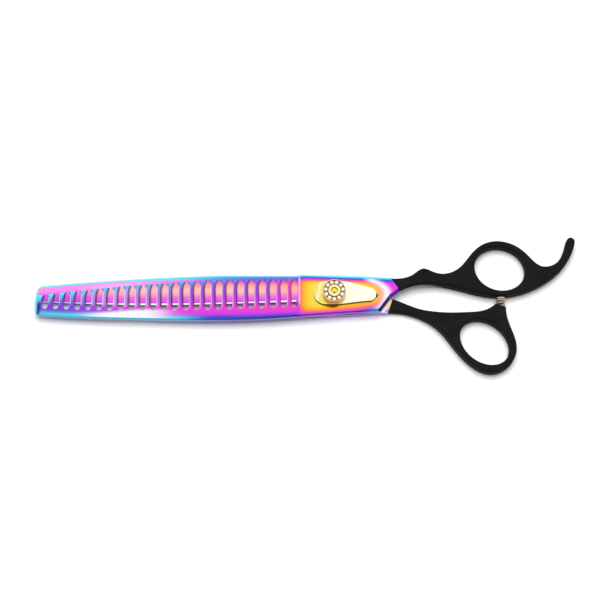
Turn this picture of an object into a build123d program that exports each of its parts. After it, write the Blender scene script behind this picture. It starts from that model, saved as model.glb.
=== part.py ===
from build123d import *
from math import pi
import os

# Thinning shears, closed and lying on their back. Millimetres.
# +X runs from the pivot towards the handles, +Y towards the finger ring, +Z up
# out of the tension dial. The origin is on the pivot axis, at the bolt's back.

os.makedirs("parts", exist_ok=True)

# Levels of the stack
SOLID_BACK = 0.6          # outer face of the under blade
SOLID_INNER = 3.4         # inner face of the under blade
TOOTH_INNER = 3.55        # inner face of the toothed blade
TOOTH_OUTER = 6.55        # outer face of the toothed blade at the ricasso
RING_THICK = 5.6          # handles at their rings
FINGER_NECK = (3.75, 7.1)     # lower and upper face of the finger handle's neck
THUMB_NECK = (0.0, 3.75)      # the same for the thumb handle

# Blades
TIP_X = -123.5            # blunt end of both blades
STEP_X = -15.1            # where the teeth stop and the ricasso starts
SPINE_BEVEL = 0.5         # on the toothed blade
HEEL_BEVEL = 1.25         # at the rear of its ricasso
TIP_END_BEVEL = 1.0
STEP_BEVEL = 0.3
SOLID_BEVEL = (0.9, 0.35) # on the under blade: across its inner face, and down its spine
HOLLOW_R = 70.0           # hollow grind of the under blade's inner face
HOLLOW_DEPTH = 0.16

# Teeth
GAPS = 24
PITCH = 4.486
FIRST_GAP_X = -119.45
GAP_W, ROOT_W = 2.9, 2.4  # a gap at its shoulders and at its round bottom
MOUTH_W = 1.2             # gap between two flared tips
FLARE = 3.2               # length over which the tips flare
ARCH = (0.28, 1.35)       # the flare's middle: in from the gap's side, and down from the tips
DEEPEST = (-78, -7.2)     # where the bottoms of the gaps are lowest, in X and Y
CLIMB = (0.00038, 0.0006) # how they climb from there, to the ricasso and to the tip
TIP_BEVEL = (1.5, 1.1)    # along the tooth, and down through its thickness

# Pivot
HEAD_R, HEAD_TOP = 4.6, 1.9
SHANK_R = 2.5
KEY_FLAT = 4.2            # across the flats that key the bolt in the toothed blade
THREAD_R = 1.35
BOLT_END = 11.2
DOME_R = 3.6              # the rounded end of the bolt
BUSH_R = 3.3
WASHER_R, WASHER_SEAT = 6.0, 0.4      # polymer washer, and its seat in the toothed blade
RUN = 0.05                # radial running clearance

# Tension dial
DIAL_R = 4.7
DIAL_BASE, DIAL_TOP = 7.86, 11.3
DIAL_ROUND = 0.18
DIAL_HOLLOW = (4.0, 0.75) # radius and depth of the room for the spring washer
FLUTES = 36
FLUTE_R, FLUTE_LEN = 0.28, 2.5
GROOVE = (2.45, 4.4)      # inner and outer radius of the crystal channel
GROOVE_DEPTH = 0.75
CRYSTALS = 11
CRYSTAL_CIRCLE = 3.57
STONE = ((0.2, 1.15), (0.82, 0.5), (0.82, 0.4), (0.5, 0.08))  # radius, depth below the dial's top

# Leaf under the dial
LEAF_THICK = 0.6
LEAF_LOW = 7.2            # underside of the plate, clear of the blade
LEAF_BOSS_R = 3.4
LEAF_TAIL = (16.9, -0.85) # where its tail goes down into the blade
TAIL_W, TAIL_THICK, TAIL_DEEP = 2.0, 0.6, 0.8
SLOT_DEEP, SLOT_ROOM = 1.2, 0.15
SPRING_WASHER_R = 3.7

# Handles
EDGE_ROUND = 1.1
FINGER_HOLE = (69.0, 11.2, 10.6, 9.25, -18)      # x, y, half axes, tilt
THUMB_HOLE = (61.75, -20.25, 11.1, 8.35, -40)

# Bumper between the rings, standing on the thumb ring
BUMPER_AT = (69.05, -6.2, RING_THICK / 2)        # middle of the socket's floor
BUMPER_R = 2.2
SOCKET_R = 2.28
BUMPER_BASE = 0.5
BUMPER_LEN = 5.35
CAP_THICK = 0.7
WIRE_R = 0.45
TURNS = 2.9
POST_R = 0.55
CAP_BOSS = (0.95, 0.9)    # radius and length of the guide under the cap
CAP_BORE = 0.4            # how far the post's bore goes up into the cap


def outline(*pieces):
    """A face from curves that run head to tail."""
    return make_face(Wire(list(pieces)))


def slab(face, low, high):
    """The face drawn at z = 0, as a plate from low to high."""
    return Pos(0, 0, low) * extrude(face, high - low)


def disc(radius, low, high, x=0.0, y=0.0):
    return Pos(x, y, (low + high) / 2) * Cylinder(radius, high - low)


def ring(inner, outer, low, high):
    return disc(outer, low, high) - disc(inner, low - 1, high + 1)


def side_profile(*pieces, y_low=-60, y_high=60):
    """A profile in X and Z, swept across the whole width."""
    face = Plane.XZ * outline(*pieces)
    return Pos(0, y_high, 0) * extrude(face, y_high - y_low)


def cross_wedge(x_a, section_a, x_b, section_b):
    """A cutter that joins two Y-Z sections with flat or ruled faces."""
    faces = []
    for x, points in ((x_a, section_a), (x_b, section_b)):
        pts = [Vector(x, y, z) for y, z in points]
        faces.append(make_face(Polyline(*pts, close=True)))
    return loft(faces, ruled=True)


def bar(start, end, w_start, w_end, low, high):
    """A tapered flat tang."""
    a, b = Vector(*start), Vector(*end)
    side = Vector(-(b - a).Y, (b - a).X).normalized()
    pts = [a + side * (w_start / 2), b + side * (w_end / 2),
           b - side * (w_end / 2), a - side * (w_start / 2)]
    return slab(make_face(Polyline(*pts, close=True)), low, high)


# ---------------------------------------------------------------- toothed blade
def tip_line():
    """Through the ends of the teeth."""
    return Spline((TIP_X, -0.2), (-113, 1.1), (-98, 2.8), (-84.3, 4.2), (-70.6, 5.2),
                  (-52.3, 6.5), (-36, 6.85), (STEP_X, 7.0))


def gap_bottom(x):
    """Y of the bottom of the gap at x."""
    away = x - DEEPEST[0]
    return DEEPEST[1] + CLIMB[0 if away > 0 else 1] * away ** 2


def tip_y(x):
    hit = tip_line().intersect(Edge.make_line((x, -20), (x, 20)))
    points = hit if isinstance(hit, (list, ShapeList)) else [hit]
    return Vector(*tuple(points[0])).Y if points[0] is not None else 7.0


def gap(x):
    """One gap: round bottom, tapered sides, closing in like a pointed arch."""
    low, high = gap_bottom(x), tip_y(x)
    r, w, m = ROOT_W / 2, GAP_W / 2, MOUTH_W / 2
    shoulder, mouth = high - FLARE, high + 0.05
    arch = w - ARCH[0]
    face = outline(
        Line((x - r, low + r), (x - w, shoulder)),
        ThreePointArc((x - w, shoulder), (x - arch, high - ARCH[1]), (x - m, mouth)),
        Line((x - m, mouth), (x - m, high + 3)),
        Line((x - m, high + 3), (x + m, high + 3)),
        Line((x + m, high + 3), (x + m, mouth)),
        ThreePointArc((x + m, mouth), (x + arch, high - ARCH[1]), (x + w, shoulder)),
        Line((x + w, shoulder), (x + r, low + r)),
        ThreePointArc((x + r, low + r), (x, low), (x - r, low + r)),
    )
    return slab(face, 0, 12)


def toothed_blade():
    face = outline(
        tip_line(),
        Line((STEP_X, 7.0), (STEP_X, 8.3)),
        Spline((STEP_X, 8.3), (0, 8.0), (12.5, 7.6), (24, 6.75)),
        Line((24, 6.75), (27.2, 1.2)),
        Line((27.2, 1.2), (23.7, -1.35)),
        Line((23.7, -1.35), (19.2, -7.45)),
        Spline((19.2, -7.45), (-9, -9.2), (-30, -10.7), (-50, -11.2), (-80, -10.75),
               (-110, -9.7), (TIP_X + 0.6, -8.75)),
        ThreePointArc((TIP_X + 0.6, -8.75), (TIP_X - 0.25, -4.2), (TIP_X, -0.2)),
    )
    body = slab(face, TOOTH_INNER, TOOTH_OUTER)
    # spine band and the long slope of the teeth, both thinning towards the tip
    top = 9.0
    body -= cross_wedge(
        -126, [(-13, 5.35), (-6.1, 5.35), (3, 4.55), (3, top), (-13, top)],
        STEP_X, [(-13, TOOTH_OUTER), (-5.2, TOOTH_OUTER), (8.5, 5.1), (8.5, top), (-13, top)])
    tips = [e for e in body.edges() if e.length > 90 and e.center().Y > 0 and e.center().Z > 4.2]
    body = chamfer(tips, *TIP_BEVEL, reference=_face_above(body, tips[0]))
    rim = [e for e in body.edges() if abs(e.center().Z - TOOTH_OUTER) < 0.01]
    body = chamfer([e for e in rim if e.center().X > 20 and -6 < e.center().Y < 2], HEEL_BEVEL)
    rim = [e for e in body.edges() if abs(e.center().Z - TOOTH_OUTER) < 0.01]
    body = chamfer([e for e in rim if e.center().Y > 5 and e.length > 20], SPINE_BEVEL)
    body = chamfer([e for e in body.edges() if e.center().X < TIP_X + 1 and e.center().Z > 4.2
                    and e.length > 4], TIP_END_BEVEL)
    body = chamfer([e for e in body.edges() if e.center().Y < -7.5 and e.center().Z > 5
                    and e.length > 20], SPINE_BEVEL)
    body = chamfer([e for e in body.edges() if abs(e.center().X - STEP_X) < 0.3
                    and e.center().Z > 6.2 and e.length > 5], STEP_BEVEL)
    for i in range(GAPS):
        body -= gap(FIRST_GAP_X + i * PITCH)
    body += bar((23, 3.7), (40.5, 7.1), 2.8, 1.8, 4.4, 5.9)
    # double-D hole for the bolt, seat of the washer, slot for the leaf's tail
    key = disc(SHANK_R, 0, 9) & Box(3 * SHANK_R, KEY_FLAT, 30)
    body -= key
    body -= disc(WASHER_R + RUN, TOOTH_INNER - 1, TOOTH_INNER + WASHER_SEAT)
    return body - tail_slot()


def tail_slot():
    """Square at the front, round behind the leaf's tail."""
    x, y = LEAF_TAIL
    half = TAIL_W / 2 + SLOT_ROOM
    front = x - TAIL_THICK / 2 - SLOT_ROOM
    floor = TOOTH_OUTER - SLOT_DEEP
    square = slab(Pos((front + x) / 2, y) * Rectangle(x - front, 2 * half), floor, TOOTH_OUTER + 1)
    return square + disc(half, floor, TOOTH_OUTER + 1, x, y)


def _face_above(body, edge):
    """The upward face that meets this edge."""
    near = [f for f in body.faces() if f.normal_at().Z > 0.5
            and f.distance_to(edge.center()) < 1e-3]
    return near[0]


# ---------------------------------------------------------------- solid blade
def solid_blade():
    face = outline(
        ThreePointArc((TIP_X + 2.9, 4.35), (-87.2, 7.0), (-46, 8.75)),
        Line((-46, 8.75), (-4, 8.5)),
        ThreePointArc((-4, 8.5), (16.5, 5.1), (24.4, -1.1)),
        Line((24.4, -1.1), (22.3, -7.4)),
        Line((22.3, -7.4), (18.3, -7.3)),
        ThreePointArc((18.3, -7.3), (3, -8.4), (-9, -8.75)),
        ThreePointArc((-9, -8.75), (-13.9, -7.0), (-15.8, -2.6)),
        Spline((-15.8, -2.6), (-30, -3.05), (-52, -3.7), (-80, -4.05), (-105, -3.4),
               (TIP_X, -2.6)),
        Line((TIP_X, -2.6), (TIP_X, 1.0)),
        ThreePointArc((TIP_X, 1.0), (TIP_X + 0.8, 3.2), (TIP_X + 2.9, 4.35)),
    )
    body = slab(face, SOLID_BACK, SOLID_INNER)
    inner = body.faces().sort_by(Axis.Z)[-1]
    spine = [e for e in inner.edges() if e.center().Y > 4 or (e.center().X < -121 and e.center().Y > 2)]
    body = chamfer(spine, *SOLID_BEVEL, reference=inner)
    # the back thins towards the tip and is bevelled down to the cutting edge
    low = -2.0
    body -= cross_wedge(
        -126, [(9, 1.5), (1.6, 1.5), (-3.6, 3.15), (-12, 3.15), (-12, low), (9, low)],
        -15.4, [(9, SOLID_BACK), (3.2, SOLID_BACK), (-4.2, 3.1), (-12, 3.1), (-12, low), (9, low)])
    # hollow grind between the spine and the cutting edge
    hollow = Pos(-68, 1.6, SOLID_INNER + HOLLOW_R - HOLLOW_DEPTH) * Rot(0, 90, 0) \
        * Cylinder(HOLLOW_R, 105)
    body -= hollow
    body -= disc(BUSH_R, 0, 9)
    body -= disc(HEAD_R + RUN, -1, HEAD_TOP + RUN)
    return body + bar((21.5, -4.2), (41.5, -9.6), 3.0, 2.0, 1.0, 2.8)


# ---------------------------------------------------------------- handles
def oval(at):
    x, y, a, b, tilt = at
    return Pos(x, y) * Rot(0, 0, tilt) * Ellipse(a, b)


def handle(face, profile):
    """A flat casting: plan outline and side profile together, then rounded all along."""
    body = slab(face, -1, 9) & profile
    edges = [e for e in body.edges() if e.length > 6 and abs(e.tangent_at(0.5).Z) < 0.6]
    return fillet(edges, EDGE_ROUND)


def finger_handle():
    face = outline(
        Spline((23.4, 6.75), (28, 6.7), (32.5, 8.2), (37.2, 11.0), (40.8, 9.9), (46, 9.1),
               (52, 11.6), (57.6, 18.1), (62.6, 22.1), (68.4, 23.35), (75.7, 21.4),
               (81, 17.1), (86.5, 12.45), (92.3, 13.6), (95.9, 19.0), (97.3, 23.4)),
        ThreePointArc((97.3, 23.4), (99.2, 24.9), (100.8, 22.9)),
        Spline((100.8, 22.9), (99.0, 17.4), (94.0, 10.3), (85.6, 4.1), (77, 0.6), (68, -0.55),
               (60.7, 0.3), (50.7, 2.9), (41.6, 4.4), (33, 3.6), (27.0, 1.3)),
        Line((27.0, 1.3), (23.4, 6.75)),
    )
    low, high = FINGER_NECK
    profile = side_profile(
        Line((20, low), (33, low)),
        Bezier((33, low), (41, low), (42, 0), (50, 0)),
        Line((50, 0), (104, 0)),
        Line((104, 0), (104, RING_THICK)),
        Line((104, RING_THICK), (50, RING_THICK)),
        Bezier((50, RING_THICK), (42, RING_THICK), (41, high), (33, high)),
        Line((33, high), (20, high)),
        Line((20, high), (20, low)),
    )
    return handle(face - oval(FINGER_HOLE), profile)


def thumb_handle():
    face = outline(
        Spline((24.3, -1.3), (29.1, -3.2), (35.8, -5.8), (44, -7.4), (55, -7.4),
               (61.5, -6.7), (66.6, -3.9)),
        Line((66.6, -3.9), (71.0, -5.5)),
        Spline((71.0, -5.5), (72.1, -12.2), (74.8, -22.0), (73.2, -28.0),
               (64.4, -33.2), (55, -29.0), (48.5, -21.5), (42.5, -14.2), (34.1, -9.2),
               (22.0, -7.2)),
        Line((22.0, -7.2), (24.3, -1.3)),
    )
    low, high = THUMB_NECK
    profile = side_profile(
        Line((15, low), (104, low)),
        Line((104, low), (104, RING_THICK)),
        Line((104, RING_THICK), (46, RING_THICK)),
        Bezier((46, RING_THICK), (38, RING_THICK), (38, high), (30, high)),
        Line((30, high), (15, high)),
        Line((15, high), (15, low)),
    )
    socket = along_bumper() * disc(SOCKET_R, 0, 8)
    return handle(face - oval(THUMB_HOLE), profile) - socket


# ---------------------------------------------------------------- pivot
def pivot_bolt():
    head = chamfer(disc(HEAD_R, 0, HEAD_TOP).edges().sort_by(Axis.Z)[0], 0.3)
    shank = disc(SHANK_R, HEAD_TOP, TOOTH_INNER)
    keyed = disc(SHANK_R, TOOTH_INNER, TOOTH_OUTER) & Box(3 * SHANK_R, KEY_FLAT, 30)
    thread = disc(THREAD_R, TOOTH_OUTER, BOLT_END - 1)
    dome = disc(THREAD_R, BOLT_END - 1, BOLT_END) & Pos(0, 0, BOLT_END - DOME_R) * Sphere(DOME_R)
    return head + shank + keyed + thread + dome


def pivot_bushing():
    return ring(SHANK_R + RUN, BUSH_R, HEAD_TOP + 0.1, SOLID_INNER - 0.05)


def friction_washer():
    return ring(SHANK_R + 0.15, WASHER_R, SOLID_INNER + RUN, TOOTH_INNER + WASHER_SEAT)


def leaf_spring():
    """Teardrop plate, sprung up under the dial, its tail bent down into the blade."""
    face = outline(
        ThreePointArc((-3.3, -4.9), (-8.5, -0.1), (-3.3, 5.0)),
        Spline((-3.3, 5.0), (4.4, 4.8), (9.4, 3.7), (15.0, 2.1),
               tangents=[(1, 0.06), (1, -0.3)]),
        ThreePointArc((15.0, 2.1), (17.3, -0.75), (15.0, -3.4)),
        Spline((15.0, -3.4), (9.2, -3.95), (3.9, -4.65), (-3.3, -4.9),
               tangents=[(-1, -0.05), (-1, 0.08)]),
    )
    top = LEAF_LOW + LEAF_THICK
    plate = slab(face, LEAF_LOW, top)
    tail = slab(Pos(*LEAF_TAIL) * Rectangle(TAIL_THICK, TAIL_W), TOOTH_OUTER - TAIL_DEEP, top)
    boss = ring(THREAD_R + 0.2, LEAF_BOSS_R, TOOTH_OUTER, LEAF_LOW)
    return plate + tail + boss - disc(THREAD_R + 0.2, 5, 9)


def spring_washer():
    """A dished washer that keeps the dial tight on the leaf."""
    lift, thick = 0.35, 0.3
    base = LEAF_LOW + LEAF_THICK + 0.02
    bore, rim = THREAD_R + 0.3, SPRING_WASHER_R
    points = [(bore, base + lift), (rim, base), (rim, base + thick), (bore, base + lift + thick)]
    return revolve(Plane.XZ * make_face(Polyline(*points, close=True)), Axis.Z)


def crystal(index):
    """A round stone with a flat table, twelve sides and a pointed back."""
    at = PolarLocations(CRYSTAL_CIRCLE, CRYSTALS, start_angle=-90).locations[index]
    sections = [Pos(0, 0, DIAL_TOP - down) * RegularPolygon(radius, 12) for radius, down in STONE]
    body = loft(sections[:2]) + loft(sections[1:3]) + loft(sections[2:])
    return at * body


def tension_dial():
    body = disc(DIAL_R, DIAL_BASE, DIAL_TOP)
    body = fillet(body.edges().sort_by(Axis.Z)[-1], DIAL_ROUND)
    flute = disc(FLUTE_R, DIAL_BASE - 1, DIAL_BASE + FLUTE_LEN, DIAL_R + 0.08)
    body -= [Rot(0, 0, i * 360 / FLUTES) * flute for i in range(FLUTES)]
    body -= ring(*GROOVE, DIAL_TOP - GROOVE_DEPTH, DIAL_TOP + 1)
    body -= disc(THREAD_R + RUN, 0, 20)
    body -= disc(DIAL_HOLLOW[0], DIAL_BASE - 1, DIAL_BASE + DIAL_HOLLOW[1])
    return body - [crystal(i) for i in range(CRYSTALS)]


# ---------------------------------------------------------------- bumper
def along_bumper():
    return Location(Plane(origin=BUMPER_AT, x_dir=(0, 0, 1), z_dir=(0, 1, 0)))


def bumper_stud():
    flange = disc(BUMPER_R, 0, BUMPER_BASE)
    post = disc(POST_R, BUMPER_BASE, BUMPER_LEN - CAP_THICK - 0.6)
    return along_bumper() * (flange + post)


def bumper_cap():
    under = BUMPER_LEN - CAP_THICK
    top = fillet(disc(BUMPER_R, under, BUMPER_LEN).edges().sort_by(Axis.Z)[-1], 0.2)
    boss = disc(CAP_BOSS[0], under - CAP_BOSS[1], under)
    bore = disc(POST_R + RUN, 0, under + CAP_BORE)
    return along_bumper() * (top + boss - bore)


def bumper_spring():
    room = BUMPER_LEN - CAP_THICK - BUMPER_BASE - 2 * WIRE_R - 0.04
    mean = BUMPER_R - WIRE_R
    path = Helix(pitch=room / TURNS, height=room, radius=mean)
    wire = sweep(Plane(origin=path @ 0, z_dir=path % 0) * Circle(WIRE_R), path, is_frenet=True)
    return along_bumper() * Pos(0, 0, BUMPER_BASE + WIRE_R + 0.02) * wire


def write(name, body):
    body.label = name
    export_step(body, f"parts/{name}.step")


BLADES = {"toothed_blade": toothed_blade(), "solid_blade": solid_blade()}
for name, body in BLADES.items():
    write(name, body)
write("finger_handle", finger_handle() - BLADES["toothed_blade"])
write("thumb_handle", thumb_handle() - BLADES["solid_blade"] - bumper_stud())
write("pivot_bolt", pivot_bolt())
write("pivot_bushing", pivot_bushing())
write("friction_washer", friction_washer())
write("leaf_spring", leaf_spring())
write("spring_washer", spring_washer())
write("tension_dial", tension_dial())
for i in range(CRYSTALS):
    write(f"crystal_{i + 1:02d}", crystal(i))
write("bumper_stud", bumper_stud())
write("bumper_cap", bumper_cap())
write("bumper_spring", bumper_spring())
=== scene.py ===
import bpy
import bmesh
import math
from types import SimpleNamespace
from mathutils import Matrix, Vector


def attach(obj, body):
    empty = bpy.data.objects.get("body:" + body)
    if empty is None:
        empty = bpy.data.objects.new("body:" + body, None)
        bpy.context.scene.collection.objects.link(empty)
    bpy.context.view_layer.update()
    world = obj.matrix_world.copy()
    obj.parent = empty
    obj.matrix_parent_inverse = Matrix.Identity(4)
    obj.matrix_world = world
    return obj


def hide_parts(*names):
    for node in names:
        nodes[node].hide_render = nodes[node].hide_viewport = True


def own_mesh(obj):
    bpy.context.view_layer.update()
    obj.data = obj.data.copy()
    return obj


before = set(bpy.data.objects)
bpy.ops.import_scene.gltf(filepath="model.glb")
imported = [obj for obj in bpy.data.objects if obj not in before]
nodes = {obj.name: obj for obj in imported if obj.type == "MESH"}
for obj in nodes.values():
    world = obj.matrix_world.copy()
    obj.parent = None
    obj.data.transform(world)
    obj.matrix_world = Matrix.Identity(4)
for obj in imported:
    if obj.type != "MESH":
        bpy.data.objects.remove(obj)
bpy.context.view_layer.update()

MM = 0.001

# camera
ELEVATION = 74.0              # degrees above the plane of the blades, on their spine side
DISTANCE = 0.65               # metres from the shears
FIELD = 0.24736               # width of the picture at the shears
TARGET = Vector((-0.01409, -0.00281, 0.00655))
SENSOR = 36.0                 # mm

# light
SKY = 0.42                    # tent light on matt surfaces
SHINE = 1.06                  # and what polish mirrors of it
TENT_BACK = (-0.5, 0.87, 0.0)  # where the tent is brightest

# bumper
SPRING_AXIS = (69.05 * MM, 2.8 * MM)
SPRING_LOW, SPRING_HIGH = -5.68 * MM, -1.57 * MM    # its ends along Y
COIL_RADIUS, WIRE_RADIUS, TURNS = 1.72 * MM, 0.46 * MM, 3.4
END_COIL = 0.6                # turns that lie flat at each end

# bump in the materials
MARK_DEPTH = 0.00003          # of the marks left by polishing
GRAIN_DEPTH = 0.00004         # of the grain of the black coat

STONES = [n for n in nodes if n.startswith("crystal_")]


# ------------------------------------------------------------------ node maths
def rgb(text):
    """A display colour written as RRGGBB, as linear RGBA."""
    out = []
    for i in (0, 2, 4):
        c = int(text[i:i + 2], 16) / 255
        out.append(c / 12.92 if c <= 0.04045 else ((c + 0.055) / 1.055) ** 2.4)
    return (*out, 1.0)


class Value:
    """A number socket that adds and multiplies by making Math nodes."""

    def __init__(self, paint, socket):
        self.paint, self.socket = paint, socket

    def _do(self, op, *others):
        node = self.paint.node("ShaderNodeMath", operation=op)
        for i, v in enumerate((self, *others)):
            self.paint.feed(node.inputs[i], v)
        return Value(self.paint, node.outputs[0])

    def __add__(self, other): return self._do("ADD", other)
    def __sub__(self, other): return self._do("SUBTRACT", other)
    def __mul__(self, other): return self._do("MULTIPLY", other)
    def __truediv__(self, other): return self._do("DIVIDE", other)
    def __pow__(self, other): return self._do("POWER", other)
    def __neg__(self): return self._do("MULTIPLY", -1.0)
    def __rsub__(self, other): return -self + other
    def __radd__(self, other): return self + other
    def low(self, other): return self._do("MINIMUM", other)
    def high(self, other): return self._do("MAXIMUM", other)
    def size(self): return self._do("ABSOLUTE")
    def exp(self): return self._do("EXPONENT")
    def part(self): return self._do("FRACT")

    def step(self, start, end, a=0.0, b=1.0, smooth=True):
        """a below start, b above end."""
        node = self.paint.node("ShaderNodeMapRange", clamp=True,
                               interpolation_type="SMOOTHSTEP" if smooth else "LINEAR")
        self.paint.feed(node.inputs[0], self)
        for i, v in enumerate((start, end, a, b)):
            self.paint.feed(node.inputs[i + 1], v)
        return Value(self.paint, node.outputs[0])

    def fade(self, reach, power=2.0):
        """1 where the value is 0, falling to 1/e one reach away."""
        return (-((self / reach) ** power)).exp()

    def bump(self, centre, width):
        """1 at the centre, falling to 1/e one width away."""
        return (self - centre).fade(width)

    def toward(self, goal, share):
        """The value itself where the share is 0, the goal where it is 1."""
        return self + (goal - self) * share


class Paint:
    """A material and the shortcuts that fill it."""

    def __init__(self, name):
        self.material = bpy.data.materials.new(name)
        self.material.use_nodes = True
        self.tree = self.material.node_tree
        self.tree.nodes.clear()
        out = self.node("ShaderNodeOutputMaterial")
        self.shader = self.node("ShaderNodeBsdfPrincipled")
        self.tree.links.new(self.shader.outputs[0], out.inputs[0])
        place = self.node("ShaderNodeTexCoord")
        self.place = place.outputs["Object"]
        split = self.node("ShaderNodeSeparateXYZ")
        self.tree.links.new(self.place, split.inputs[0])
        self.x, self.y, self.z = (Value(self, split.outputs[i]) * 1000.0 for i in range(3))
        face = self.node("ShaderNodeSeparateXYZ")
        self.tree.links.new(place.outputs["Normal"], face.inputs[0])
        self.nx, self.ny, self.nz = (Value(self, face.outputs[i]) for i in range(3))

    def node(self, kind, **settings):
        made = self.tree.nodes.new(kind)
        for k, v in settings.items():
            setattr(made, k, v)
        return made

    def feed(self, socket, value):
        """Links a socket to a value that is one, or sets it."""
        if isinstance(value, Value):
            value = value.socket
        if isinstance(value, bpy.types.NodeSocket):
            self.tree.links.new(value, socket)
        else:
            socket.default_value = value

    def set(self, **inputs):
        """Feeds the surface shader's inputs, with _ for a space."""
        for k, v in inputs.items():
            self.feed(self.shader.inputs[k.replace("_", " ")], v)

    def noise(self, scale, detail=2.0, stretch=(1, 1, 1)):
        """Noise over the row frame; scale is in waves per metre."""
        mapping = self.node("ShaderNodeMapping")
        mapping.inputs["Scale"].default_value = stretch
        self.tree.links.new(self.place, mapping.inputs[0])
        tex = self.node("ShaderNodeTexNoise")
        tex.inputs["Scale"].default_value = scale
        tex.inputs["Detail"].default_value = detail
        tex.inputs["Roughness"].default_value = 0.5
        self.tree.links.new(mapping.outputs[0], tex.inputs[0])
        return Value(self, tex.outputs[0])

    def ramp(self, value, stops):
        """The colour at a value, from (place, RRGGBB) stops."""
        node = self.node("ShaderNodeValToRGB")
        band = node.color_ramp
        while len(band.elements) < len(stops):
            band.elements.new(0.5)
        for e, (at, colour) in zip(band.elements, stops):
            e.position, e.color = at, rgb(colour)
        self.feed(node.inputs[0], value)
        return node.outputs[0]

    def mix(self, share, a, b):
        """Colour a where the share is 0, colour b where it is 1."""
        node = self.node("ShaderNodeMix", data_type="RGBA")
        self.feed(node.inputs[0], share)
        self.feed(node.inputs[6], a)
        self.feed(node.inputs[7], b)
        return node.outputs[2]

    def walls(self):
        """1 on the faces that stand upright, 0 on those that lie flat."""
        return self.nz.size().step(0.35, 0.75, 1.0, 0.0)

    def relief(self, height, strength, depth=MARK_DEPTH):
        """Bump from a height field."""
        node = self.node("ShaderNodeBump")
        node.inputs["Strength"].default_value = strength
        node.inputs["Distance"].default_value = depth
        self.feed(node.inputs["Height"], height)
        self.tree.links.new(node.outputs[0], self.shader.inputs["Normal"])


# ------------------------------------------------------------------ oxide colours
# from the thinnest film to the thickest
FILM = [(0.00, "F8E868"), (0.12, "F8C42A"), (0.24, "F8984A"), (0.34, "FA6C7C"),
        (0.44, "F247B8"), (0.54, "E23EE4"), (0.64, "9A48E0"), (0.74, "3A44BE"),
        (0.84, "3AA4EE"), (0.93, "4CDCF0"), (1.00, "9CF2F2")]
AMBER, MAGENTA, NAVY, CYAN = 0.14, 0.50, 0.76, 0.93    # places on it

# colours that the film itself doesn't give, among them painted highlights and painted shade
WHITE, HIGHLIGHT_WHITE = "FFFFFF", "FBFBFF"
TIP_NAVY, BAND_PINK, STEP_ORANGE = "12206E", "FF7CF2", "F09060"
GAP_SHADE, TOOTH_SHADE, LEAF_SHADE, CORNER_SHADE = "200C28", "38084A", "4A100E", "4A2258"
HEEL_FACE = [(0.0, "241660"), (0.45, "2C1878"), (0.62, "7A44E8"), (1.0, "9A50F0")]
TOOTHED_SIDES = [(0.0, "6CA0E8"), (0.25, "7C74D8"), (0.6, "9A4CC8"), (0.9, "7E4AC0"),
                 (1.0, "2298B4")]
SOLID_SIDES = "C878F4"

# the blades, in mm
TIP_X, STEP_X = -123.5, -15.1
FIRST_GAP_X, PITCH = -119.45, 4.486
HALF_GAP, HALF_MOUTH, FLARE = 1.4, 0.6, 3.2
SLOT_X, SLOT_Y = 17.3, -0.85           # where the leaf's tail goes in
HEEL_ARC = (1.4, -22.2, 31.2)          # x, y, radius of the back of the solid blade's ricasso
HEEL_FLAT_Y, HEEL_FLAT_END = 8.6, -4.0  # its straight part, on the tip side of this x
CORNER_ARC = (-9.5, -2.5, 6.3)         # x, y, radius of the ricasso's front corner


def film_metal(p, colour, rough):
    """Polished steel under the film: fine draw marks along the blade, and a little cloud."""
    p.set(Base_Color=colour, Metallic=1.0, Roughness=p.noise(260.0, 4.0, (1, 6, 1)) * 0.08 + rough)
    p.relief(p.noise(900.0, 2.0, (1, 14, 1)), 0.04)
    return p.material


def inside_arc(p, arc):
    """How far in from a round edge a point lies."""
    x, y, radius = arc
    return (radius - ((p.x - x) ** 2.0 + (p.y - y) ** 2.0) ** 0.5).high(0.0)


def toothed_places(p):
    """Where a point lies on the toothed blade: distances in mm, and shares from 0 to 1."""
    x, y = p.x, p.y
    from_deepest = x + 52.0
    spine = from_deepest.high(0.0) ** 1.8 * 0.00175 + from_deepest.low(0.0) ** 2.0 * 0.00045 - 11.15
    tips = 7.0 - (-25.0 - x).high(0.0) ** 1.861 * 0.001405
    back = 8.3 - (x + 15.0).high(0.0) * 0.034
    at = SimpleNamespace()
    at.blade = x.step(STEP_X - 0.15, STEP_X + 0.15, 1.0, 0.0)
    at.ricasso = 1.0 - at.blade
    at.on_tooth = (y - spine).step(4.4, 6.4)
    at.from_spine = (y - spine).high(0.0)
    at.from_back = (back - y).high(0.0)
    at.from_tip = (tips - y).high(0.0)
    # 0 in the middle of the ricasso, 1 at its edge
    at.heel = (((x - 8.0) / 13.9).high(0.0) ** 2.0 + (y.high(0.0) / 6.7) ** 2.0
               + (y.low(0.0) / 10.6) ** 2.0)
    return at


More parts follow.
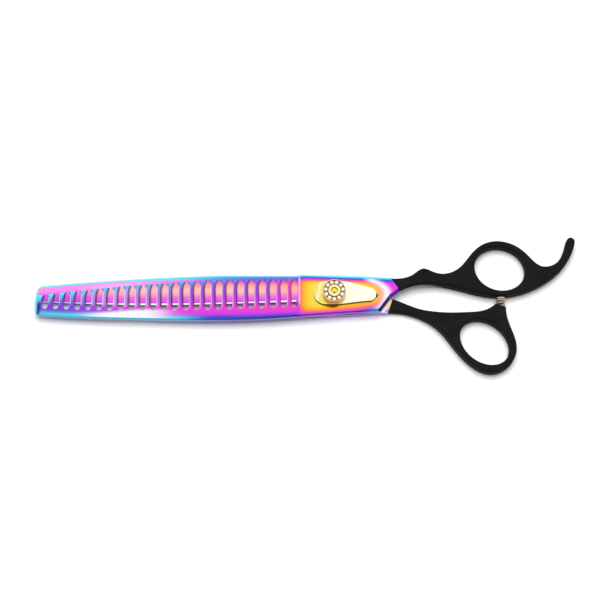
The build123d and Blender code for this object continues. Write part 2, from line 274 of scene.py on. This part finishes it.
def toothed_film(p, at):
    """The film's own colours on the toothed blade."""
    x, y = p.x, p.y
    cloud = (p.noise(90.0, 3.0) - 0.5) * 0.05
    # ricasso: a magenta step, then gold, with blue edges
    gold = at.heel.step(0.45, 1.15, 0.04, 0.46, smooth=False) + x.step(-8.0, 10.0, 0.0, 0.05)
    gold = gold.toward(MAGENTA + 0.02, (x - STEP_X).high(0.0).fade(2.1, 1.1))
    gold = gold.toward(1.0, at.from_back.fade(1.75, 1.9))
    gold = gold.toward(x.step(9.0, 15.0, NAVY, CYAN), at.from_spine.fade(1.95, 1.4))
    # the solid band along the spine
    band = x.step(-16.0, -50.0, 0.455, MAGENTA) + x.step(-70.0, -115.0, 0.0, 0.17)
    band = band.toward(NAVY, at.from_spine.fade(2.3, 2.2) * x.step(-75.0, -55.0, 0.45, 1.0))
    # teeth: violet, with blue bevelled ends
    body = x.step(-16.0, -29.0, 0.43, 0.63) + x.step(-88.0, -110.0, 0.0, 0.07)
    body = body.toward(MAGENTA, at.from_tip.step(7.0, 12.5))
    film = gold.toward(band.toward(body, at.on_tooth), at.blade) + cloud
    colour = p.ramp(film, FILM)
    at_end = at.from_tip.fade(x.step(-75.0, -40.0, 2.9, 1.6), 2.4) * at.on_tooth * at.blade
    at_end = at_end * x.step(-20.0, -45.0, 0.45, 1.0)
    end = x.step(-15.0, -70.0, 0.76, 0.865) + x.step(-92.0, -116.0, 0.0, 0.065)
    colour = p.mix(at_end, colour, p.ramp(end + cloud, FILM))
    # bevelled spine and blunt end
    at_spine = at.from_spine.fade(1.7, 2.4) * x.step(-50.0, -66.0)
    at_spine = at_spine.high((x - TIP_X).step(1.5, 0.5))
    colour = p.mix(at_spine, colour, p.ramp(CYAN + cloud, FILM))
    navy = (x - TIP_X).bump(1.5, 0.75) * y.step(-2.5, -4.5) * y.step(-8.9, -8.2)
    return p.mix(navy * 0.85, colour, rgb(TIP_NAVY))


def toothed_painted_light(p, at, colour):
    """Painted highlights where the steel's ground faces turn; each tooth gets a painted highlight on
    one side and painted shade on the other.
    """
    x, y = p.x, p.y
    # painted highlights: a lens-shaped patch on the spine band, a paler wash on the teeth, a crescent
    # on the ricasso
    highlight_top = x.step(-104.0, -74.0, 2.9, 5.2)
    lens = (x + 86.0).fade(16.5, 4.0) * 0.97 * at.from_spine.step(0.15, 0.9)
    lens = lens * at.from_spine.step(highlight_top, highlight_top - 1.9)
    teeth = at.on_tooth * x.step(-55.0, -88.0, 0.02, 0.24) * x.step(-117.0, -90.0, 0.2, 1.0)
    teeth = teeth * at.from_tip.step(0.6, 2.4)
    heel_highlight = at.heel.bump(1.0, 0.26) * x.step(11.0, 16.0) * at.from_spine.step(0.5, 1.7)
    painted_highlight = (lens + teeth) * at.blade + heel_highlight * at.ricasso * 0.93
    painted_highlight = painted_highlight * at.from_back.step(0.3, 1.4)

    # across each tooth: a painted highlight on one side, painted shade from the gap on the other
    side = (((x - FIRST_GAP_X) / PITCH + 0.5).part() - 0.5) * PITCH
    arch = (1.0 - at.from_tip / FLARE).high(0.0) ** 2.0           # 1 at the tips, 0 below their flare
    beyond = side.size() - HALF_GAP + arch * (HALF_GAP - HALF_MOUTH)
    among = at.blade * at.on_tooth * x.step(FIRST_GAP_X - 2.5, FIRST_GAP_X - 2.0)
    right = side.step(-0.1, 0.1)
    lit = beyond.step(0.42, 0.2) * right * (1.0 - arch) * among * 0.4
    # a painted highlight beside the step
    step_highlight = x.bump(STEP_X + 0.75, 0.35) * at.ricasso * y.step(-5.5, -3.0) * 0.5
    colour = p.mix((painted_highlight + lit + step_highlight).low(0.94), colour, rgb(HIGHLIGHT_WHITE))

    # painted shade along the other side of each tooth and in the arches at their tips
    dim = (1.0 - right) * x.step(-20.0, -70.0, 0.45, 0.8) * x.step(-114.0, -92.0, 0.6, 1.0)
    dim = dim.high(arch.step(0.04, 0.35) * 0.7)
    at.shade = beyond.step(0.5, 0.22) * dim * among
    # painted shade over the teeth toward the ricasso
    return p.mix(at.on_tooth * at.blade * x.step(-92.0, -75.0) * 0.16, colour, rgb(TOOTH_SHADE))


def toothed_faces(p, at, colour):
    """Upright walls and small bevels, with painted shade on the walls in the gaps, in the leaf's slot
    and under the dial.
    """
    x, y = p.x, p.y
    # painted shade on the walls inside the gaps and on each tooth's shaded side
    in_gap = p.walls() * at.on_tooth * at.blade * p.ny.step(0.6, 0.3)
    colour = p.mix(at.shade.high(in_gap * 0.95), colour, rgb(GAP_SHADE))
    # painted shade in the leaf's slot, and a painted shadow of the dial on the ricasso
    slot = (x - SLOT_X).size().step(1.5, 1.3) * (y - SLOT_Y).size().step(1.4, 1.25)
    slot = slot * p.z.step(6.45, 6.3)
    under = ((x + 1.2) / 3.4) ** 2.0 + ((y + 4.9) / 1.5) ** 2.0
    colour = p.mix(slot.high(under.step(1.15, 0.2) * 0.7), colour, rgb(LEAF_SHADE))
    heel_face = p.nx.step(0.2, 0.4) * p.nz.step(0.3, 0.5) * x.step(16.0, 17.0)
    colour = p.mix(heel_face * 0.97, colour, p.ramp(y.step(-6.5, 2.5, smooth=False), HEEL_FACE))
    step_face = p.nx.step(-0.2, -0.4) * p.nz.step(0.3, 0.5) * (x - STEP_X).size().step(1.0, 0.8)
    colour = p.mix(step_face * y.step(-3.5, -6.0), colour, rgb(STEP_ORANGE))
    sides = p.ramp(x.step(-60.0, 20.0, smooth=False), TOOTHED_SIDES)
    return p.mix(p.walls() * (1.0 - in_gap) * 0.85, colour, sides)


def toothed_paint():
    """Thin, gold film in the middle of the ricasso; thicker towards every edge and the tip."""
    p = Paint("toothed_blade_film")
    at = toothed_places(p)
    colour = toothed_film(p, at)
    colour = toothed_painted_light(p, at, colour)
    return film_metal(p, toothed_faces(p, at, colour), 0.15)


def solid_heel_film(p):
    """Film on the solid blade's ricasso: gold, thicker towards its edges."""
    x, y = p.x, p.y
    low_edge = (y + 9.0 - x.high(0.0) * 0.07).fade(1.3)
    film = (x.step(12.0, 17.0, NAVY, CYAN) - AMBER) * low_edge + AMBER
    straight = (HEEL_FLAT_Y - y).high(0.0) * x.step(HEEL_FLAT_END + 0.2, HEEL_FLAT_END - 0.2)
    from_back = inside_arc(p, HEEL_ARC).high(straight)
    film = film.toward(0.9, from_back.fade(1.5, 1.6) * y.step(-3.0, 1.0))
    from_corner = inside_arc(p, CORNER_ARC)
    return film.toward(0.7, from_corner.fade(1.5, 1.6) * x.step(-6.0, -10.0) * y.step(1.0, -2.0))


def solid_blade_film(p, from_edge, from_spine):
    """Film on the working length: pink hollow, violet by the ground edge, magenta by the spine."""
    x = p.x
    near_tip = x.step(-86.0, -119.0, 0.0, 0.18)
    film = x.step(-90.0, -30.0, 0.375, 0.28) + near_tip
    film = film.toward(near_tip * 0.5 + MAGENTA, from_edge.step(5.0, 2.8))
    film = film.toward(near_tip * 0.3 + 0.60, from_edge.step(1.7, 0.8))
    film = film.toward(x.step(-65.0, -35.0, MAGENTA, 0.455), from_spine.step(4.4, 2.6))
    film = film.toward(0.61, from_spine.step(3.5, 2.1) * x.step(-66.0, -50.0))
    return film + (p.noise(90.0, 3.0) - 0.5) * 0.04


def solid_paint():
    """Pink hollow paled by a painted highlight, cyan along the bevelled spine, a painted highlight on
    the ground edge, painted shade in the corner by the ricasso; gold at the ricasso.
    """
    p = Paint("solid_blade_film")
    x, y = p.x, p.y
    past_bend = (-46.0 - x).high(0.0)
    spine = 8.75 - past_bend * 0.0221 - past_bend ** 2.0 * 0.000494
    edge = ((x + 77.0) ** 2.0) * 0.00042 - 4.1
    blade = x.step(STEP_X + 1.2, STEP_X + 2.2, 1.0, 0.0)
    from_edge = (y - edge).high(0.0)
    from_spine = (spine - y).high(0.0)
    film = solid_heel_film(p).toward(solid_blade_film(p, from_edge, from_spine), blade)
    colour = p.ramp(film, FILM)
    pink = x.step(-62.0, -90.0) * from_spine.step(4.4, 2.6) * 0.75
    colour = p.mix(pink, colour, rgb(BAND_PINK))
    at_rim = (from_spine / x.step(-95.0, -45.0, 1.0, 1.55)).step(1.45, 0.75)
    at_rim = at_rim.high((x - TIP_X).step(1.3, 0.5))
    rim = x.step(-15.0, -70.0, 0.86, 0.925)
    rim = rim - from_spine.step(0.4, 1.7) * x.step(-75.0, -40.0) * 0.1
    colour = p.mix(at_rim * blade, colour, p.ramp(rim, FILM))

    # painted highlights on the hollow, along the rim and on the heel
    painted_highlight = y.bump(2.2, 2.7) * x.step(-40.0, -15.0, 0.38, 0.28) + x.step(-70.0, -50.0, 0.05, 0.02)
    painted_highlight = painted_highlight + from_spine.bump(2.0, 0.9) * x.step(-40.0, -80.0) * 0.12
    painted_highlight = painted_highlight * x.step(-84.0, -112.0, 1.0, 0.3)
    painted_highlight = painted_highlight + from_spine.step(0.8, 0.3) * x.step(-40.0, -95.0, 0.15, 0.40)
    painted_highlight = painted_highlight * blade + (1.0 - blade) * (x - y * 0.45).bump(22.7, 1.7)
    colour = p.mix(painted_highlight.low(0.95), colour, rgb(WHITE))
    # painted highlight along the ground edge
    ground = from_edge.step(0.8, 0.55) * p.nz.step(0.2, 0.4)
    colour = p.mix(ground * x.step(-15.4, -15.9), colour, rgb(WHITE))
    # painted shade in the corner of the last gap, by the ricasso
    corner = (y - edge).step(0.3, -0.6) * (x + 15.0).size().step(2.6, 1.4) * y.step(-7.5, -5.5)
    colour = p.mix(corner * 0.8, colour, rgb(CORNER_SHADE))
    return film_metal(p, p.mix(p.walls() * 0.85, colour, rgb(SOLID_SIDES)), 0.16)


# ------------------------------------------------------------------ the other materials
LEAF_HIGHLIGHT, LEAF_SIDE_SHADE = "FFFFF0", "6E4A14"
DIAL_BOSS, DIAL_FLUTE_SHADE, DIAL_CHANNEL, BOLT_DARK_SPOT = "FFF4A4", "6A3410", "6E3C22", "4A2A04"

# the dial, in mm
DIAL_R, DIAL_TOP = 4.7, 11.3
BOSS_R, CHANNEL_IN, CHANNEL_OUT = 2.3, 2.35, 4.5
EDGE = 0.15                            # over which its colours change


def metal(name, light, dark, rough):
    """Plated metal, with a little cloud in its colour and its gloss."""
    p = Paint(name)
    cloud = p.noise(400.0, 4.0)
    p.set(Base_Color=p.ramp(cloud, [(0.3, dark), (0.7, light)]), Metallic=1.0,
          Roughness=cloud * 0.14 + (rough - 0.07))
    p.relief(p.noise(2400.0, 2.0), 0.06)
    return p.material


def leaf_paint():
    """Pale gold plate: yellower round the dial, lighter to the tail where a painted highlight whitens
    it, with a painted highlight streak near its left end and painted shade in brown on its cut sides.
    """
    p = Paint("leaf_gold")
    cloud = p.noise(260.0, 4.0, (1, 3, 1))
    # the plate whitens toward the tail: a painted highlight
    highlight_share = p.x.step(-8.0, 9.0) + (cloud - 0.5) * 0.3
    top = p.ramp(highlight_share, [(0.0, "F2E066"), (0.35, "F8EE92"), (0.65, "FFF9C8"), (1.0, "FFFDE8")])
    # a painted highlight streak near the left end
    top = p.mix((p.x + p.y * -0.2).bump(-6.5, 0.6) * 0.6, top, rgb(LEAF_HIGHLIGHT))
    # painted shade on the cut sides
    colour = p.mix(p.nz.size().step(0.4, 0.8, 1.0, 0.0), top, rgb(LEAF_SIDE_SHADE))
    p.set(Base_Color=colour, Metallic=1.0, Roughness=cloud * 0.1 + 0.2)
    p.relief(p.noise(1500.0, 2.0, (1, 4, 1)), 0.06)
    return p.material


def handle_paint():
    """Black coat over cast metal, matt and finely grained."""
    p = Paint("handle_black")
    cloud = p.noise(120.0, 4.0)
    p.set(Base_Color=p.ramp(cloud, [(0.3, "151517"), (0.7, "1C1C1F")]), Metallic=0.0,
          Roughness=cloud * 0.12 + 0.5)
    p.shader.inputs["Specular IOR Level"].default_value = 0.03
    p.relief(p.noise(5200.0, 2.0), 0.10, GRAIN_DEPTH)
    return p.material


def dial_paint():
    """Polished gold: cream boss; a side darker than the top as painted shade, with painted shade in
    its flutes; dark channel between the stones.
    """
    p = Paint("dial_gold")
    around = (p.x * p.x + p.y * p.y) ** 0.5
    cloud = p.noise(500.0, 4.0)
    top = p.ramp(cloud, [(0.3, "F2D078"), (0.7, "FFEFB0")])
    top = p.mix(around.step(BOSS_R, BOSS_R - EDGE), top, rgb(DIAL_BOSS))
    # the side: a darker copy of the gold as painted shade, darkest in the flutes
    side = p.ramp(cloud, [(0.3, "AC661E"), (0.7, "E8A848")])
    side = p.mix(around.step(DIAL_R - 0.15, DIAL_R - 0.28), side, rgb(DIAL_FLUTE_SHADE))
    colour = p.mix(p.nz.step(0.35, 0.8), side, top)
    channel = around.step(CHANNEL_IN, CHANNEL_IN + EDGE) * around.step(CHANNEL_OUT, CHANNEL_OUT - EDGE)
    channel = channel * p.z.step(DIAL_TOP - 0.1, DIAL_TOP - 0.35)
    colour = p.mix(channel * 0.85, colour, rgb(DIAL_CHANNEL))
    p.set(Base_Color=colour, Metallic=1.0, Roughness=cloud * 0.1 + 0.16)
    p.relief(p.noise(2600.0, 2.0), 0.08)
    return p.material


def bolt_paint():
    """Yellow gold, with a small dark spot off the centre of its end."""
    p = Paint("bolt_gold")
    cloud = p.noise(400.0, 4.0)
    # a small dark spot below the centre of the end face
    dark_spot = ((p.x / 0.5) ** 2.0 + ((p.y + 0.85) / 0.33) ** 2.0).step(1.3, 0.5) * p.nz.step(0.2, 0.5)
    top = p.ramp(cloud, [(0.3, "E2CC48"), (0.7, "FCF078")])
    p.set(Base_Color=p.mix(dark_spot * 0.95, top, rgb(BOLT_DARK_SPOT)), Metallic=1.0,
          Roughness=cloud * 0.12 + 0.14)
    p.relief(p.noise(2400.0, 2.0), 0.06)
    return p.material


def stone_paint():
    """Foil-backed cut glass: bright, with faint pink and blue fire painted into its colour in random
    patches.
    """
    p = Paint("stone_clear")
    painted_fire = p.noise(1700.0, 2.0)
    colour = p.ramp(painted_fire, [(0.3, "D8B8BE"), (0.46, "FFF4F0"), (0.6, "FFFFFF"), (0.75, "D8E0F0")])
    p.set(Base_Color=colour, Roughness=painted_fire * 0.05 + 0.03, Transmission_Weight=0.15)
    p.shader.inputs["Specular IOR Level"].default_value = 0.9
    p.shader.inputs["Coat Weight"].default_value = 0.6
    return p.material


def plastic(name, light, dark, rough):
    """Smooth polymer, with a little cloud."""
    p = Paint(name)
    cloud = p.noise(300.0, 4.0)
    p.set(Base_Color=p.ramp(cloud, [(0.3, dark), (0.7, light)]), Roughness=cloud * 0.1 + rough)
    p.relief(p.noise(2500.0, 2.0), 0.1)
    return p.material


def wear(node, material):
    """Gives a CAD node its material."""
    nodes[node].data.materials.clear()
    nodes[node].data.materials.append(material)


black = handle_paint()
steel = metal("bumper_nickel", "D8CCC6", "A9968E", 0.26)
wear("toothed_blade", toothed_paint())
wear("solid_blade", solid_paint())
wear("finger_handle", black)
wear("thumb_handle", black)
wear("tension_dial", dial_paint())
wear("leaf_spring", leaf_paint())
wear("pivot_bolt", bolt_paint())
wear("pivot_bushing", metal("bushing_brass", "D9B56A", "B08A44", 0.3))
wear("spring_washer", metal("washer_steel", "B9B9BC", "8E8E92", 0.3))
wear("friction_washer", plastic("washer_polymer", "E8E5DC", "D2CEC2", 0.45))
wear("bumper_stud", steel)
wear("bumper_cap", steel)
stone = stone_paint()
for name in STONES:
    wear(name, stone)


# ------------------------------------------------------------------ bumper spring
def coil_spring(name, centre, low, high, radius, wire, turns, rounds=150, sides=14):
    """A compression spring along Y, one tube with capped ends; its end coils lie flat."""
    body = bmesh.new()
    rings = []
    for i in range(rounds + 1):
        share = i / rounds
        rise = min(max((share - END_COIL / turns) / (1 - 2 * END_COIL / turns), 0.0), 1.0)
        along = low + wire + (high - low - 2 * wire) * rise
        turn = 2 * math.pi * turns * share
        loop = []
        for j in range(sides):
            tube = 2 * math.pi * j / sides
            out = radius + wire * math.cos(tube)
            corner = (centre[0] + out * math.sin(turn), along + wire * math.sin(tube),
                      centre[1] + out * math.cos(turn))
            loop.append(body.verts.new(corner))
        rings.append(loop)
    for a, b in zip(rings, rings[1:]):
        for j in range(sides):
            body.faces.new((a[j], a[j - 1], b[j - 1], b[j]))
    body.faces.new(rings[0])
    body.faces.new(rings[-1][::-1])
    bmesh.ops.recalc_face_normals(body, faces=body.faces)
    mesh = bpy.data.meshes.new(name)
    body.to_mesh(mesh)
    body.free()
    mesh.polygons.foreach_set("use_smooth", [True] * len(mesh.polygons))
    obj = bpy.data.objects.new(name, mesh)
    bpy.context.scene.collection.objects.link(obj)
    return obj


spring = coil_spring("bumper_coil", SPRING_AXIS, SPRING_LOW, SPRING_HIGH,
                     COIL_RADIUS, WIRE_RADIUS, TURNS)
spring.data.materials.append(metal("bumper_wire", "EADAD0", "A98D80", 0.2))
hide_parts("bumper_spring")
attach(spring, "thumb_half")
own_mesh(spring)

# ------------------------------------------------------------------ floor, light, camera
bpy.ops.mesh.primitive_plane_add(size=6.0, location=(0, 0, -0.02 * MM))
floor = bpy.context.object
floor.name = "floor"
ground = bpy.data.materials.new("floor_white")
ground.use_nodes = True
surface = ground.node_tree.nodes["Principled BSDF"].inputs
surface["Base Color"].default_value = (0.93, 0.93, 0.93, 1)
surface["Roughness"].default_value = 0.9
surface["Specular IOR Level"].default_value = 0.1
floor.data.materials.append(ground)

world = bpy.data.worlds.new("studio")
bpy.context.scene.world = world
world.use_nodes = True
tree = world.node_tree
tree.nodes.clear()


def world_node(kind, **feeds):
    """A node, with values or sockets fed to its inputs by name or by number (in0, in1, ...)."""
    node = tree.nodes.new(kind)
    for k, v in feeds.items():
        socket = node.inputs[int(k[2:])] if k[:2] == "in" else node.inputs[k]
        if isinstance(v, bpy.types.NodeSocket):
            tree.links.new(v, socket)
        else:
            socket.default_value = v
    return node


# a white tent: brighter behind the shears, dark low down at the front right
place = world_node("ShaderNodeTexCoord")
toward = world_node("ShaderNodeVectorMath", in0=place.outputs["Generated"], in1=TENT_BACK)
toward.operation = "DOT_PRODUCT"
tent = world_node("ShaderNodeMapRange", in0=toward.outputs["Value"], in1=-0.92, in2=-0.5,
                  in3=0.3 * SHINE, in4=SHINE)
back = world_node("ShaderNodeMapRange", in0=toward.outputs["Value"], in1=-1.0, in2=1.0,
                  in3=SKY * 0.6, in4=SKY * 1.4)
rays = world_node("ShaderNodeLightPath")
power = world_node("ShaderNodeMix", in0=rays.outputs["Is Glossy Ray"], in2=back.outputs[0],
                   in3=tent.outputs[0])
sky = world_node("ShaderNodeBackground", in0=(1, 1, 1, 1), in1=power.outputs[0])
world_node("ShaderNodeOutputWorld", in0=sky.outputs[0])


def softbox(name, place, size, watts):
    """A soft lamp aimed at the shears, which the polish doesn't mirror."""
    light = bpy.data.lights.new(name, "AREA")
    light.shape, light.size, light.size_y, light.energy = "RECTANGLE", size[0], size[1], watts
    lamp = bpy.data.objects.new(name, light)
    lamp.location = place
    lamp.rotation_euler = (TARGET - Vector(place)).to_track_quat("-Z", "Y").to_euler()
    lamp.visible_glossy = False
    bpy.context.scene.collection.objects.link(lamp)


softbox("key", place=(0.0, 0.25, 1.05), size=(0.8, 0.75), watts=13.0)

camera = bpy.data.objects.new("camera", bpy.data.cameras.new("camera"))
bpy.context.scene.collection.objects.link(camera)
tilt = math.radians(ELEVATION)
camera.location = TARGET + DISTANCE * Vector((0, -math.cos(tilt), math.sin(tilt)))
camera.rotation_euler = (TARGET - camera.location).to_track_quat("-Z", "Y").to_euler()
camera.data.sensor_width = SENSOR
camera.data.lens = SENSOR * DISTANCE / FIELD
camera.data.clip_start, camera.data.clip_end = 0.01, 20.0
bpy.context.scene.camera = camera
bpy.context.scene.view_settings.view_transform = "Standard"
